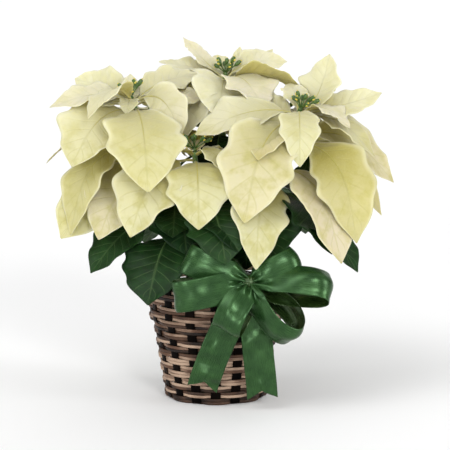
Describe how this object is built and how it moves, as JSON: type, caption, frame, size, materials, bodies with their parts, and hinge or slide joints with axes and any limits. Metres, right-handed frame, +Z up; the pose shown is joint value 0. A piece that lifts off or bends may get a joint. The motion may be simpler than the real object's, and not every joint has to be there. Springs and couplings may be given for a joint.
{
  "type": "potted poinsettia in a woven basket",
  "caption": "Cream poinsettia with broad pointed bracts, green cup clusters and dark leaves, growing in a nursery pot inside a tapered woven basket with a ribbon bow.",
  "frame": {"origin": "middle of the basket's flat underside", "axes": "+Z up along the basket's axis, -Y towards the front, where the bow hangs, +X to the right seen from the front"},
  "size_m": [0.4422, 0.3441, 0.4533],
  "materials": {
    "bract_cream": "soft matte cream bract with fine veins, yellow-green in the shade near its base",
    "leaf_green": "dark green leaf with paler veins, slightly waxy",
    "cup_green": "fleshy green cups with yellow glands",
    "basket_cane": "woven flat cane, brown to light tan strips with dark gaps",
    "pot_plastic": "thin dark green moulded plastic",
    "soil_mix": "loose dark potting mix",
    "ribbon_satin": "green satin ribbon with a soft sheen",
    "wire_green": "thin green painted florist's wire"
  },
  "bodies": {
    "root": {"basket_wall": "basket_cane", "basket_rim": "basket_cane", "basket_base": "basket_cane", "nursery_pot": "pot_plastic", "soil": "soil_mix", "ribbon_bow": "ribbon_satin", "bow_wire": "wire_green", "leafy_stem_left": "leaf_green", "leafy_stem_back_middle": "leaf_green", "leafy_stem_right": "leaf_green", "leafy_stem_front_low": "leaf_green", "leafy_stem_back_left": "leaf_green", "leafy_stem_back_right": "leaf_green", "bloom_left": "bract_cream", "bloom_back_middle": "bract_cream", "bloom_right": "bract_cream", "bloom_front_low": "bract_cream", "bloom_back_left": "bract_cream", "bloom_back_right": "bract_cream", "cups_left": "cup_green", "cups_back_middle": "cup_green", "cups_right": "cup_green", "cups_front_low": "cup_green", "cups_back_left": "cup_green", "cups_back_right": "cup_green"}
  },
  "joints": []
}
